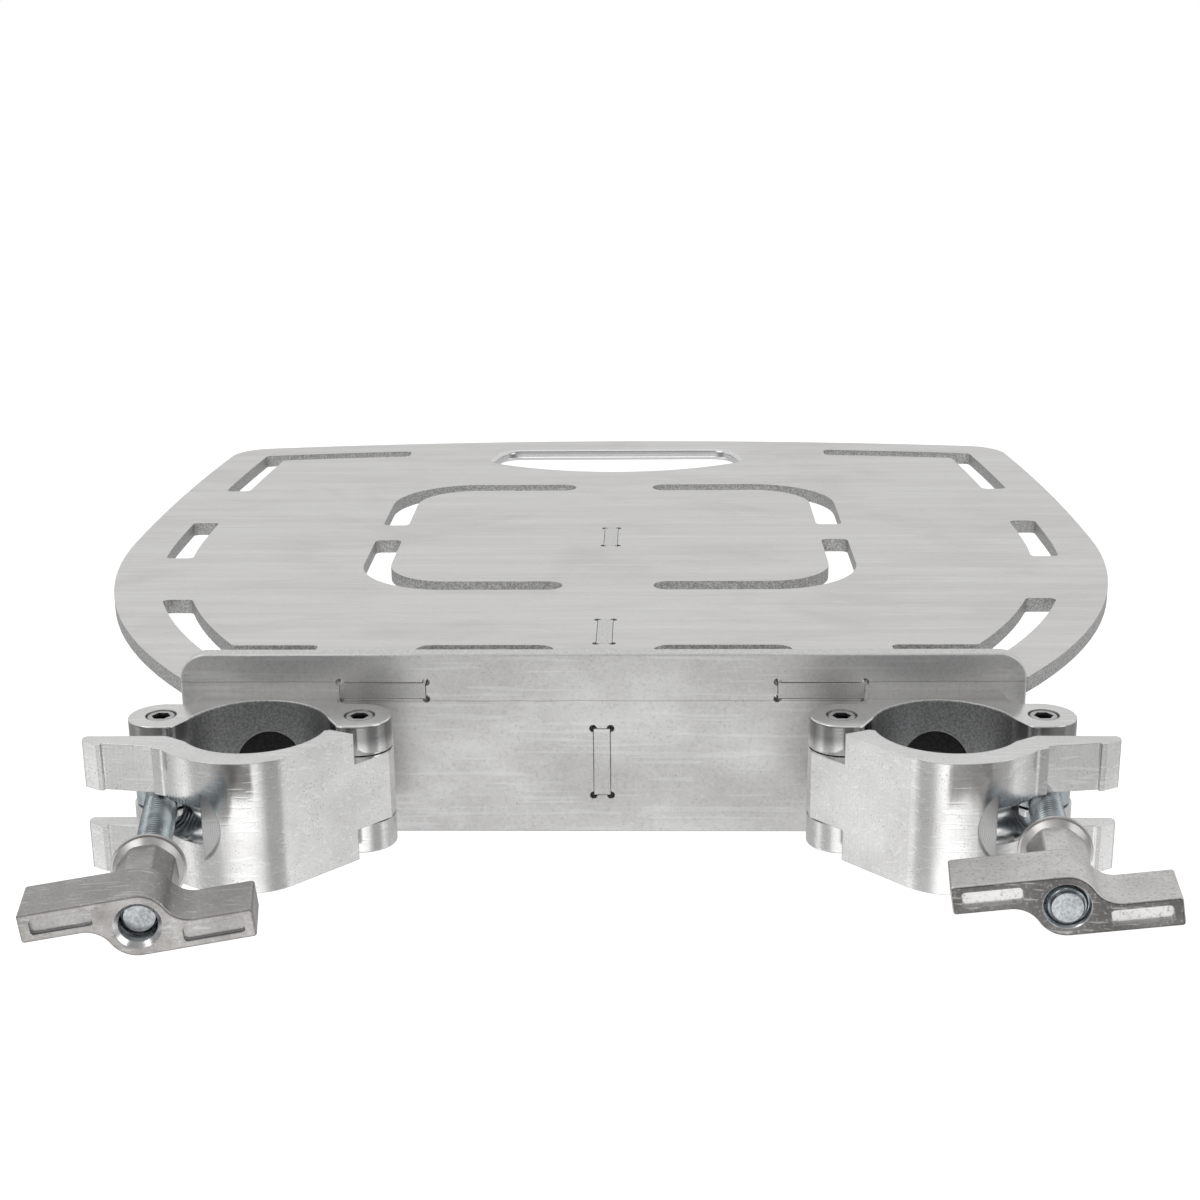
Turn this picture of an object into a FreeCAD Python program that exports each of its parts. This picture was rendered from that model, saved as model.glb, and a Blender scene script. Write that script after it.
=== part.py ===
import FreeCAD, Part
import math
import os

# Truss-mounted equipment shelf: a slotted aluminium shelf and a front plate, joined by
# tabs, a centre rib and welds, held on two vertical truss tubes by hinged half couplers.
#
# Frame, in millimetres: origin midway between the two tube axes at clamp mid-height,
# +X to the right along the pair of tubes, +Y away from the tubes over the shelf, +Z up.
# Clamp profiles use u, outward from the tube axis, and w, away from the shelf (-Y).

V = FreeCAD.Vector
X_AXIS, Y_AXIS, Z_AXIS = V(1, 0, 0), V(0, 1, 0), V(0, 0, 1)

# --- driving dimensions --------------------------------------------------------------
TUBE_SPACING = 240.0        # between the axes of the two truss tubes
BORE_R = 25.5               # clamp bore, for 48 to 51 mm tube
CLAMP_H = 48.0              # height of the saddle along the tube
WEB = 10.0                  # saddle metal between bore and front plate
JAW_R = 35.0                # outside of the jaw's barrel

SHEET = 6.0                 # thickness of shelf, front plate and rib
SHELF_TOP = CLAMP_H / 2 + 3
TAB_GAP = 0.2               # clearance round each tab in its slot
TAB_SINK = 0.15             # the shelf's tabs stand this far below its top face
RELIEF_R = 1.4              # corner relief holes of the tab slots

PLATE_W, PLATE_H = 307.6, 70.0
PLATE_LIP = 11.0            # plate standing above the shelf's top face
PLATE_CORNER_R = 10.0

SHELF_HALF_W = 218.4
SHELF_WIDEST_Y = 225.5
SHELF_FAR_Y = 430.0
FRONT_SIDE_R, REAR_SIDE_R, FAR_R = 300.0, 1624.0, 1231.0
SHELF_CORNER_R = 20.0

SLOT_W = 12.0               # strap slots
SLOT_END_R, SLOT_BEND_R, SLOT_TIP_R = SLOT_W / 2 - 0.05, 2.4, 3.0
FRONT_SLOT_GAP = 24.7       # front plate's back to the front row of slots
FRONT_SLOT_X = (19.1, 72.1)
FRONT_TURN_X, FRONT_TURN_FAR_Y = (110.2, 146.0), 137.0      # slot that turns up the side
SIDE_SLOT_Y = (198.5, 258.5)
CORNER_SLOT_Y, CORNER_SLOT_X = 319.5, 112.3                 # slot round the far corner
SIDE_MARGIN = 19.0          # outline to strap slot along the sides
FAR_MARGIN = 18.0           # outline to strap slot along the far edge
LOOP_OUTER_X, LOOP_INNER_X = 108.0, 19.3
LOOP_MID_Y, LOOP_HALF, LOOP_BREAK = 240.3, 90.3, 12.8
LOOP_CORNER_R = 39.0
HANDLE_HALF_W = 66.4
HANDLE_NEAR_Y, HANDLE_SIDE_Y, HANDLE_FAR_Y = 360.0, 382.0, 408.5
HANDLE_TAPER, HANDLE_NEAR_R, HANDLE_FAR_R = 6.0, 7.0, 11.0
HANDLE_ROLL_R = 2.2         # rounding of the hand slot's rims

EAR_U, EAR_W, EAR_R = 35.2, -10.7, 11.5     # saddle ears and the pins in them
SADDLE_PAD_U, SADDLE_SIDE_U = 24.6, 26.3    # half widths at the plate and above the ears
SADDLE_MOUTH_U, SADDLE_FLARE_W = 29.6, -8.6
PIN_R, PIN_GAP = 5.3, 0.06
PIN_SHORT, PIN_CHAMFER = 0.2, 0.7
PIN_SOCKET_AF, PIN_SOCKET_DEPTH = 6.0, 7.0
KNUCKLE_WAY_H = 26.2        # slot between the ears for the jaw's knuckle
KNUCKLE_GAP_ABOVE, KNUCKLE_GAP_BELOW = 0.3, 1.3
EYE_H, EYE_R, EYE_GAP = 15.4, 10.8, 0.4
TURN_ROOM = 0.6             # radial room round a part that turns between the ears
BORE_ROOM = 0.1             # knuckle and eye stand this far back from the bore

JAW_H, JAW_LIFT = 47.2, 0.5                 # the jaw rides a little high on its pin
FLAT_ANGLE, FLAT_DISTANCE = 46.6, 31.2      # flat from the barrel to the knuckle
FLAT_BLEND_R = 20.0         # from the flat into the barrel
FLAT_PAST_PIN = 2.25
JAW_END_OUT, JAW_END_IN = (-35.5, 7.6), (-26.2, 3.2)    # end face beside the ears, (u, w)
JAW_LIP = (-29.0, 3.0)
BARREL_END_W = 22.2
BARREL_CROWN, BORE_FROM, BORE_TO = 75.0, 34.915, 170.063    # directions round the tube
PRONG_ROOT, PRONG_CREST = (32.0, 20.0), (51.0, 17.2)
PRONG_TIP, PRONG_BACK, PRONG_HEEL = (56.8, 13.6), (56.8, 9.8), (28.6, 9.4)
PRONG_POCKET = ((31.0, 18.9), (49.2, 16.1), (49.9, 20.0), (31.5, 24.0))
FORK_GAP = 13.2             # between the jaw's two prongs
FORK_END_U = 22.8           # inner end of the fork's slot
TROUGH_START_U = 12.8       # round-bottomed trough that leads into the slot
SEAT_U, SEAT_W, SEAT_R = 21.0, 32.6, 14.5   # spot face for the washer on the barrel

BOLT_R, BOLT_CHAMFER = 5.85, 1.0            # M12 swing bolt
BOLT_NECK_R, BOLT_NECK_L = 7.4, 5.0
WASHER_R, WASHER_T, WASHER_RIM_T = 12.0, 3.2, 1.2
WASHER_BORE_GAP = 0.65
NUT_HUB_R, NUT_HUB_L, WING_L = 10.0, 18.0, 19.8
NUT_HUB_FLATS, NUT_HUB_AF = 8, 18.8         # flats on the hub behind the wings
WING_SPAN, WING_H = 68.6, 9.4
WING_BLEND_R = 9.0          # hollow between hub and wing
WINDOW_EDGE, WINDOW_L, WINDOW_DEPTH = 3.2, 18.4, 1.4
WINDOW_RAIL = 2.2
NUT_BORE_GAP, NUT_MOUTH = 0.07, 2.0
NUT_EDGE_R = 0.7
# Per side: how far the bolt leans inboard, its length from the eye's centre, the eye to
# the nut's outer face, and the tilt of the wings.
SIDES = {
    "left": {"sign": -1, "swing": 9.3, "bolt": 110.0, "nut_face": 116.0, "tilt": 6.3},
    "right": {"sign": 1, "swing": 6.2, "bolt": 101.6, "nut_face": 100.8, "tilt": 9.3},
}

SCREW_R, SCREW_HOLE_R, SCREW_HEAD_R, SCREW_L = 6.0, 6.5, 12.0, 35.0
SCREW_SOCKET_AF, NUT_AF = 8.0, 18.0
HEAD_SINK, HEAD_RIM, HEAD_GAP = 0.3, 0.6, 0.14      # countersunk head below the bore wall
FLAT_WASHER_R, FLAT_WASHER_T = 12.0, 2.5
LOCKNUT_H, NYLON_H = 12.0, 3.0

RIB_LENGTH, RIB_DEPTH, RIB_NOSE, RIB_HEEL = 208.0, 48.0, 8.0, 12.0
WELD_LEG, WELD_BULGE = 4.0, 0.62
SHELF_WELDS_X = ((10.0, 52.0), (64.0, 96.0), (108.0, 146.0))
RIB_WELDS_Y = ((54.0, 94.0), (130.0, 170.0), (205.0, 242.0))
RIB_WELD_ENDS = 3.0, 1.0    # rib weld on the plate: short of the rib's foot, and of the shelf

# --- derived places ------------------------------------------------------------------
PLATE_FRONT_Y = BORE_R + WEB
PLATE_BACK_Y = PLATE_FRONT_Y + SHEET
PLATE_TOP = SHELF_TOP + PLATE_LIP
PLATE_BOTTOM = PLATE_TOP - PLATE_H
SHELF_BOTTOM = SHELF_TOP - SHEET
HALF_H = CLAMP_H / 2
FRONT_TAB_X = (64.2, 95.4)
RIB_TAB_Y = ((80.1, 109.1), (217.6, 246.6))
RIB_TAB_Z = (-17.0, 9.0)
KNUCKLE_REACH = math.hypot(FLAT_PAST_PIN, 13.0)     # from the pin to the knuckle's corner
OVER = 1.0                  # how far a cutting tool runs past the face it cuts


# --- helpers -------------------------------------------------------------------------
def box(x0, x1, y0, y1, z0, z1):
    return Part.makeBox(x1 - x0, y1 - y0, z1 - z0, V(x0, y0, z0))


def wire_face(edges):
    return Part.Face(Part.Wire(Part.__sortEdges__(edges)))


def polygon(points, z0, z1):
    """Prism over a polygon of (x, y) points, from z0 to z1."""
    corners = [V(x, y, z0) for x, y in points]
    face = Part.Face(Part.makePolygon(corners + corners[:1]))
    return face.extrude(V(0, 0, z1 - z0))


def line(a, b):
    return Part.LineSegment(V(*a), V(*b)).toShape()


def arc(a, mid, b):
    return Part.Arc(V(*a), V(*mid), V(*b)).toShape()


def cylinder(radius, base, direction, length):
    return Part.makeCylinder(radius, length, V(*base), V(*direction))


def vertical_edges(solid, places, reach=0.6):
    """Straight edges along Z that stand within reach of the given (x, y) places."""
    found = []
    for edge in solid.Edges:
        a, b = edge.Vertexes[0].Point, edge.Vertexes[-1].Point
        if abs(a.x - b.x) > 1e-4 or abs(a.y - b.y) > 1e-4 or abs(a.z - b.z) < 0.1:
            continue
        if any(math.hypot(a.x - x, a.y - y) < reach for x, y in places):
            found.append(edge)
    return found


def round_verticals(solid, radius, places, reach=0.6):
    return solid.makeFillet(radius, vertical_edges(solid, places, reach))


def edges_at(solid, test):
    """Edges whose every sampled point passes the test."""
    chosen = []
    for edge in solid.Edges:
        first, last = edge.ParameterRange
        points = [edge.valueAt(first + (last - first) * k / 4) for k in range(5)]
        if all(test(p) for p in points):
            chosen.append(edge)
    return chosen


def mirrored(shape):
    return shape.mirror(V(0, 0, 0), X_AXIS)


def both_sides(shape):
    return [shape, mirrored(shape)]


def hexagon(across_flats, z0, z1):
    radius = across_flats / math.sqrt(3)
    points = [(radius * math.cos(math.radians(60 * k)), radius * math.sin(math.radians(60 * k)))
              for k in range(6)]
    return polygon(points, z0, z1)


def aimed(shape, base, direction):
    """Move a shape made along +Z so that its axis starts at base and runs in direction."""
    turn = FreeCAD.Rotation(Z_AXIS, V(*direction))
    placed = shape.copy()
    placed.Placement = FreeCAD.Placement(V(*base), turn)
    return placed


def corner_reliefs(lo, hi, along):
    """Relief holes at the four corners of a tab slot; along is the axis they run in."""
    holes = []
    for a in (lo[0], hi[0]):
        for b in (lo[1], hi[1]):
            if along == "y":
                base, direction = (a, PLATE_FRONT_Y - OVER, b), (0, 1, 0)
            else:
                base, direction = (a, b, SHELF_BOTTOM - OVER), (0, 0, 1)
            holes.append(cylinder(RELIEF_R, base, direction, SHEET + 2 * OVER))
    return holes


# --- shelf ---------------------------------------------------------------------------
def shelf_outline():
    """Right half and left half of the shelf's outline, closed along its front edge."""
    centre_x = SHELF_HALF_W - FRONT_SIDE_R
    front_x = centre_x + math.sqrt(FRONT_SIDE_R ** 2 - (SHELF_WIDEST_Y - PLATE_BACK_Y) ** 2)
    rear_cx = SHELF_HALF_W - REAR_SIDE_R
    far_cy = SHELF_FAR_Y - FAR_R
    corner_y = SHELF_FAR_Y - 17.5
    for _ in range(20):
        corner_x = rear_cx + math.sqrt(REAR_SIDE_R ** 2 - (corner_y - SHELF_WIDEST_Y) ** 2)
        corner_y = far_cy + math.sqrt(FAR_R ** 2 - corner_x ** 2)
    z = SHELF_BOTTOM
    edges = [line((-front_x, PLATE_BACK_Y, z), (front_x, PLATE_BACK_Y, z)),
             arc((-corner_x, corner_y, z), (0, SHELF_FAR_Y, z), (corner_x, corner_y, z))]
    mid_front = math.radians(-18)
    mid_x = centre_x + FRONT_SIDE_R * math.cos(mid_front)
    mid_y = SHELF_WIDEST_Y + FRONT_SIDE_R * math.sin(mid_front)
    rear_mid_y = (SHELF_WIDEST_Y + corner_y) / 2
    rear_mid_x = rear_cx + math.sqrt(REAR_SIDE_R ** 2 - (rear_mid_y - SHELF_WIDEST_Y) ** 2)
    for s in (-1, 1):
        edges.append(arc((s * front_x, PLATE_BACK_Y, z), (s * mid_x, mid_y, z),
                         (s * SHELF_HALF_W, SHELF_WIDEST_Y, z)))
        edges.append(arc((s * SHELF_HALF_W, SHELF_WIDEST_Y, z),
                         (s * rear_mid_x, rear_mid_y, z), (s * corner_x, corner_y, z)))
    solid = wire_face(edges).extrude(V(0, 0, SHEET))
    return round_verticals(solid, SHELF_CORNER_R, [(corner_x, corner_y), (-corner_x, corner_y)])


def ring_band(cx, cy, radius, margin, clip):
    """The part of a strap slot that runs margin inside an arc of the outline."""
    z0, height = SHELF_BOTTOM - OVER, SHEET + 2 * OVER
    outer = Part.makeCylinder(radius - margin, height, V(cx, cy, z0))
    inner = Part.makeCylinder(radius - margin - SLOT_W, height, V(cx, cy, z0))
    return outer.cut(inner).common(clip)


def slot_box(x0, x1, y0, y1):
    return box(x0, x1, y0, y1, SHELF_BOTTOM - OVER, SHELF_TOP + OVER)


def soften(solid, radius):
    """Round every vertical corner of a slot cutter, leaving out any too small to round."""
    rounded = solid
    for edge in solid.Edges:
        a, b = edge.Vertexes[0].Point, edge.Vertexes[-1].Point
        if math.hypot(a.x - b.x, a.y - b.y) > 1e-4 or abs(a.z - b.z) < 1:
            continue
        near = vertical_edges(rounded, [(a.x, a.y)], 0.05)
        try:
            rounded = rounded.makeFillet(radius, near)
        except Part.OCCError:
            pass
    return rounded


def front_edge_slots():
    """Right-hand slots along the front edge: a straight one and one that turns up the side."""
    y0 = PLATE_BACK_Y + FRONT_SLOT_GAP
    y1 = y0 + SLOT_W
    ends = [(x, y) for x in FRONT_SLOT_X for y in (y0, y1)]
    straight = round_verticals(slot_box(*FRONT_SLOT_X, y0, y1), SLOT_END_R, ends)
    cx = SHELF_HALF_W - FRONT_SIDE_R
    clip = slot_box(SLOT_W, SHELF_HALF_W, y0, FRONT_TURN_FAR_Y)
    turn = ring_band(cx, SHELF_WIDEST_Y, FRONT_SIDE_R, SIDE_MARGIN, clip)
    run = slot_box(*FRONT_TURN_X, y0, y1)
    return [straight, soften(turn.fuse(run).removeSplitter(), SLOT_BEND_R)]


def side_slots():
    """Right-hand slots along the side and round the far corner."""
    front_cx = SHELF_HALF_W - FRONT_SIDE_R
    rear_cx = SHELF_HALF_W - REAR_SIDE_R
    far_cy = SHELF_FAR_Y - FAR_R
    middle_y = SHELF_WIDEST_Y
    inner_x, outer_x = CORNER_SLOT_X, SHELF_HALF_W
    lower = ring_band(front_cx, middle_y, FRONT_SIDE_R, SIDE_MARGIN,
                      slot_box(inner_x, outer_x, SIDE_SLOT_Y[0], middle_y))
    upper = ring_band(rear_cx, middle_y, REAR_SIDE_R, SIDE_MARGIN,
                      slot_box(inner_x, outer_x, middle_y, SIDE_SLOT_Y[1]))
    side = soften(lower.fuse(upper).removeSplitter(), SLOT_BEND_R)
    far_top = SHELF_FAR_Y - FAR_MARGIN
    up = ring_band(rear_cx, middle_y, REAR_SIDE_R, SIDE_MARGIN,
                   slot_box(inner_x, outer_x, CORNER_SLOT_Y, far_top))
    across = ring_band(0, far_cy, FAR_R, FAR_MARGIN,
                       slot_box(inner_x, outer_x, CORNER_SLOT_Y, SHELF_FAR_Y))
    outside = Part.makeCylinder(REAR_SIDE_R - SIDE_MARGIN, SHEET + 2 * OVER,
                                V(rear_cx, middle_y, SHELF_BOTTOM - OVER))
    inside = Part.makeCylinder(FAR_R - FAR_MARGIN, SHEET + 2 * OVER,
                               V(0, far_cy, SHELF_BOTTOM - OVER))
    corner = up.common(inside).fuse(across.common(outside)).removeSplitter()
    return [side, soften(corner, SLOT_TIP_R)]


def loop_slots():
    """Right-hand pair of hooked slots that face each other round the shelf's middle."""
    hooks = []
    x1, x0 = LOOP_OUTER_X, LOOP_INNER_X
    y_end, y_far = LOOP_MID_Y + LOOP_BREAK, LOOP_MID_Y + LOOP_HALF
    block = slot_box(x0, x1, y_end, y_far)
    block = round_verticals(block, LOOP_CORNER_R, [(x1, y_far)])
    core = slot_box(x0 - OVER, x1 - SLOT_W, y_end - OVER, y_far - SLOT_W)
    core = round_verticals(core, LOOP_CORNER_R - SLOT_W, [(x1 - SLOT_W, y_far - SLOT_W)])
    far = block.cut(core)
    far = round_verticals(far, SLOT_TIP_R, [(x1, y_end), (x1 - SLOT_W, y_end)])
    far = round_verticals(far, SLOT_END_R, [(x0, y_far), (x0, y_far - SLOT_W)])
    hooks.append(far)
    hooks.append(far.mirror(V(0, LOOP_MID_Y, 0), Y_AXIS))
    return hooks


def handle_slot():
    """Hand slot at the far edge: bowed towards the middle, with softly rounded corners."""
    z = SHELF_BOTTOM - OVER
    side, far_x = HANDLE_HALF_W, HANDLE_HALF_W - HANDLE_TAPER
    edges = [arc((-side, HANDLE_SIDE_Y, z), (0, HANDLE_NEAR_Y, z), (side, HANDLE_SIDE_Y, z)),
             line((side, HANDLE_SIDE_Y, z), (far_x, HANDLE_FAR_Y, z)),
             line((far_x, HANDLE_FAR_Y, z), (-far_x, HANDLE_FAR_Y, z)),
             line((-far_x, HANDLE_FAR_Y, z), (-side, HANDLE_SIDE_Y, z))]
    cutter = wire_face(edges).extrude(V(0, 0, SHEET + 2 * OVER))
    near = [(side, HANDLE_SIDE_Y), (-side, HANDLE_SIDE_Y)]
    far = [(far_x, HANDLE_FAR_Y), (-far_x, HANDLE_FAR_Y)]
    cutter = round_verticals(cutter, HANDLE_NEAR_R, near)
    return round_verticals(cutter, HANDLE_FAR_R, far)


def shelf_plate():
    solid = shelf_outline()
    for x0 in (FRONT_TAB_X[0], -FRONT_TAB_X[1]):
        width = FRONT_TAB_X[1] - FRONT_TAB_X[0]
        solid = solid.fuse(box(x0, x0 + width, PLATE_FRONT_Y, PLATE_BACK_Y,
                               SHELF_BOTTOM, SHELF_TOP - TAB_SINK))
    cutters = [handle_slot()]
    for right in front_edge_slots() + side_slots() + loop_slots():
        cutters += both_sides(right)
    half = SHEET / 2 + TAB_GAP
    for y0, y1 in RIB_TAB_Y:
        cutters.append(slot_box(-half, half, y0 - TAB_GAP, y1 + TAB_GAP))
        cutters += corner_reliefs((-half, y0 - TAB_GAP), (half, y1 + TAB_GAP), "z")
    solid = solid.cut(cutters).removeSplitter()

    def on_handle(p):
        inside = abs(p.x) < HANDLE_HALF_W + 1 and HANDLE_NEAR_Y - 1 < p.y < HANDLE_FAR_Y + 1
        on_face = abs(p.z - SHELF_TOP) < 1e-3 or abs(p.z - SHELF_BOTTOM) < 1e-3
        return inside and on_face

    return solid.makeFillet(HANDLE_ROLL_R, edges_at(solid, on_handle))


# --- front plate, rib and welds ------------------------------------------------------
def front_plate():
    half_w = PLATE_W / 2
    solid = box(-half_w, half_w, PLATE_FRONT_Y, PLATE_BACK_Y, PLATE_BOTTOM, PLATE_TOP)
    corners = [e for e in solid.Edges
               if abs(e.Vertexes[0].Point.y - e.Vertexes[-1].Point.y) > 1]
    solid = solid.makeFillet(PLATE_CORNER_R, corners)
    cutters = []
    g = TAB_GAP
    for s in (-1, 1):
        x0, x1 = sorted((s * FRONT_TAB_X[0], s * FRONT_TAB_X[1]))
        cutters.append(box(x0 - g, x1 + g, PLATE_FRONT_Y - OVER, PLATE_BACK_Y + OVER,
                           SHELF_BOTTOM - g, SHELF_TOP + g))
        cutters += corner_reliefs((x0 - g, SHELF_BOTTOM - g), (x1 + g, SHELF_TOP + g), "y")
        cutters.append(cylinder(SCREW_HOLE_R, (s * TUBE_SPACING / 2, PLATE_FRONT_Y - OVER, 0),
                                (0, 1, 0), SHEET + 2 * OVER))
    half = SHEET / 2 + g
    z0, z1 = RIB_TAB_Z
    cutters.append(box(-half, half, PLATE_FRONT_Y - OVER, PLATE_BACK_Y + OVER, z0 - g, z1 + g))
    cutters += corner_reliefs((-half, z0 - g), (half, z1 + g), "y")
    solid = solid.cut(cutters).removeSplitter()
    faces_y = (PLATE_FRONT_Y, PLATE_BACK_Y)

    def on_rim(p):
        at_edge = abs(abs(p.x) - half_w) < PLATE_CORNER_R or p.z > PLATE_TOP - 0.01 \
            or p.z < PLATE_BOTTOM + 0.01
        return at_edge and min(abs(p.y - y) for y in faces_y) < 1e-3 and outside_corner(p)

    def outside_corner(p):
        dx = max(abs(p.x) - (half_w - PLATE_CORNER_R), 0)
        dz = max(p.z - (PLATE_TOP - PLATE_CORNER_R), (PLATE_BOTTOM + PLATE_CORNER_R) - p.z, 0)
        return math.hypot(dx, dz) > PLATE_CORNER_R - 0.02

    return solid.makeChamfer(0.5, edges_at(solid, on_rim))


def rib_profile():
    """Side view of the rib as (y, z) corners: deep at the plate, a short nose at its end."""
    y0, y1 = PLATE_BACK_Y, PLATE_BACK_Y + RIB_LENGTH
    top = SHELF_BOTTOM
    return [(y0, top), (y1, top), (y1, top - RIB_NOSE), (y0 + RIB_HEEL, top - RIB_DEPTH),
            (y0, top - RIB_DEPTH)]


def centre_rib():
    half = SHEET / 2
    corners = [V(-half, y, z) for y, z in rib_profile()]
    face = Part.Face(Part.makePolygon(corners + corners[:1]))
    solid = face.extrude(V(SHEET, 0, 0))
    tabs = [box(-half, half, y0, y1, SHELF_BOTTOM - OVER, SHELF_TOP) for y0, y1 in RIB_TAB_Y]
    tabs.append(box(-half, half, PLATE_FRONT_Y, PLATE_BACK_Y + OVER, *RIB_TAB_Z))
    return solid.fuse(tabs).removeSplitter()


def bead_x(x0, x1):
    """Fillet weld along X in the corner under the shelf, behind the front plate."""
    y, z, leg = PLATE_BACK_Y, SHELF_BOTTOM, WELD_LEG
    bulge = leg * WELD_BULGE
    edges = [line((x0, y, z), (x0, y + leg, z)), line((x0, y, z), (x0, y, z - leg)),
             arc((x0, y + leg, z), (x0, y + bulge, z - bulge), (x0, y, z - leg))]
    return wire_face(edges).extrude(V(x1 - x0, 0, 0))


def bead_y(side, y0, y1):
    """Fillet weld along Y between the shelf's underside and one face of the rib."""
    x, z, leg = side * SHEET / 2, SHELF_BOTTOM, WELD_LEG
    bulge = leg * WELD_BULGE
    edges = [line((x, y0, z), (x + side * leg, y0, z)), line((x, y0, z), (x, y0, z - leg)),
             arc((x + side * leg, y0, z), (x + side * bulge, y0, z - bulge), (x, y0, z - leg))]
    return wire_face(edges).extrude(V(0, y1 - y0, 0))


def bead_z(side, z0, z1):
    """Fillet weld along Z between the front plate's back and one face of the rib."""
    x, y, leg = side * SHEET / 2, PLATE_BACK_Y, WELD_LEG
    bulge = leg * WELD_BULGE
    edges = [line((x, y, z0), (x + side * leg, y, z0)), line((x, y, z0), (x, y + leg, z0)),
             arc((x + side * leg, y, z0), (x + side * bulge, y + bulge, z0), (x, y + leg, z0))]
    return wire_face(edges).extrude(V(0, 0, z1 - z0))


def shelf_weld_beads():
    beads = []
    for a, b in SHELF_WELDS_X:
        beads += [bead_x(-b, -a), bead_x(a, b)]
    return Part.makeCompound(beads)


def rib_weld_beads():
    beads = []
    foot = SHELF_BOTTOM - RIB_DEPTH + RIB_WELD_ENDS[0]
    head = SHELF_BOTTOM - WELD_LEG - RIB_WELD_ENDS[1]
    for s in (-1, 1):
        beads += [bead_y(s, y0, y1) for y0, y1 in RIB_WELDS_Y]
        beads.append(bead_z(s, foot, head))
    return Part.makeCompound(beads)


# --- clamps, drawn once with u to the right, then turned to face the tubes ------------
def to_clamp(shape, sign):
    """Place a (u, w, z) shape: u runs outward from the tube axis and w runs along -Y."""
    turned = shape.copy()
    turned.rotate(V(0, 0, 0), X_AXIS, 180)      # (u, w, z) to (u, -w, -z)
    if sign < 0:
        turned = mirrored(turned)
    turned.translate(V(sign * TUBE_SPACING / 2, 0, 0))
    return turned


def disc(radius, u, w, half_height):
    return Part.makeCylinder(radius, 2 * half_height, V(u, w, -half_height))


def slab(points, half_height):
    return polygon(points, -half_height, half_height)


def ear_way(u, reach, height):
    """Room between the ears for a part that turns about the pin at u."""
    outward = math.copysign(1, u)
    back = EAR_W - EAR_R - TURN_ROOM
    front = EAR_W + EAR_R + OVER
    inner_u, outer_u = u - outward * reach, u + outward * (reach + OVER)
    return [disc(reach, u, EAR_W, height / 2),
            slab([(u, back), (outer_u, back), (outer_u, front), (inner_u, front),
                  (inner_u, EAR_W)], height / 2)]


def screw_seat():
    """Clearance hole and countersink for the mounting screw, through the saddle's web."""
    hole = cylinder(SCREW_HOLE_R, (0, -PLATE_FRONT_Y - OVER, 0), (0, 1, 0), WEB + 3)
    sink_r = SCREW_HEAD_R + HEAD_GAP
    sink_w = -(BORE_R + HEAD_SINK + HEAD_RIM)
    sink = Part.makeCone(SCREW_HOLE_R, sink_r, sink_r - SCREW_HOLE_R)
    sink = aimed(sink, (0, sink_w - (sink_r - SCREW_HOLE_R), 0), (0, 1, 0))
    return [hole, sink, cylinder(sink_r, (0, sink_w, 0), (0, 1, 0), 8.0)]


def clamp_saddle():
    back, ear_back, ear_front = -PLATE_FRONT_Y, EAR_W - EAR_R, EAR_W + EAR_R
    pad_u, side_u, mouth_u = SADDLE_PAD_U, SADDLE_SIDE_U, SADDLE_MOUTH_U
    body = slab([(-pad_u, back), (pad_u, back), (side_u, ear_back), (EAR_U, ear_back),
                 (EAR_U, ear_front), (-EAR_U, ear_front), (-EAR_U, ear_back),
                 (-side_u, ear_back)], HALF_H)
    ears = [disc(EAR_R, s * EAR_U, EAR_W, HALF_H) for s in (-1, 1)]
    solid = body.fuse(ears).removeSplitter()
    solid = round_verticals(solid, 5.0, [(side_u, ear_back), (-side_u, ear_back)])
    flare_w = SADDLE_FLARE_W
    flare_u = math.sqrt(BORE_R ** 2 - flare_w ** 2)
    mouth = slab([(-flare_u, flare_w), (flare_u, flare_w), (mouth_u, ear_front + OVER),
                  (-mouth_u, ear_front + OVER)], HALF_H + OVER)
    solid = solid.cut([disc(BORE_R, 0, 0, HALF_H + OVER), mouth]).removeSplitter()
    lips = [(s * (mouth_u - 0.6), ear_front) for s in (-1, 1)]
    solid = round_verticals(solid, 3.0, lips, 1.2)

    def on_outline(p):
        on_face = abs(abs(p.z) - HALF_H) < 1e-3
        return on_face and p.y > -PLATE_FRONT_Y + 0.01

    solid = solid.makeFillet(0.6, edges_at(solid, on_outline))
    ways = ear_way(-EAR_U, KNUCKLE_REACH + TURN_ROOM, KNUCKLE_WAY_H)
    ways += ear_way(EAR_U, EYE_R + TURN_ROOM, EYE_H + 2 * EYE_GAP)
    pins = [disc(PIN_R, s * EAR_U, EAR_W, HALF_H + OVER) for s in (-1, 1)]
    return solid.cut(ways + pins + screw_seat())


def on_circle(radius, degrees):
    return (radius * math.cos(math.radians(degrees)), radius * math.sin(math.radians(degrees)))


def on_flat(distance):
    """A place on the jaw's flat, measured from its nearest point to the tube axis."""
    along, away = on_circle(1, FLAT_ANGLE), on_circle(FLAT_DISTANCE, FLAT_ANGLE + 90)
    return (away[0] + along[0] * distance, away[1] + along[1] * distance)


def barrel_ends():
    """Where the jaw's barrel meets its flat and its fork."""
    start = on_flat(math.sqrt(JAW_R ** 2 - FLAT_DISTANCE ** 2))
    return start, (math.sqrt(JAW_R ** 2 - BARREL_END_W ** 2), BARREL_END_W)


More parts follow.
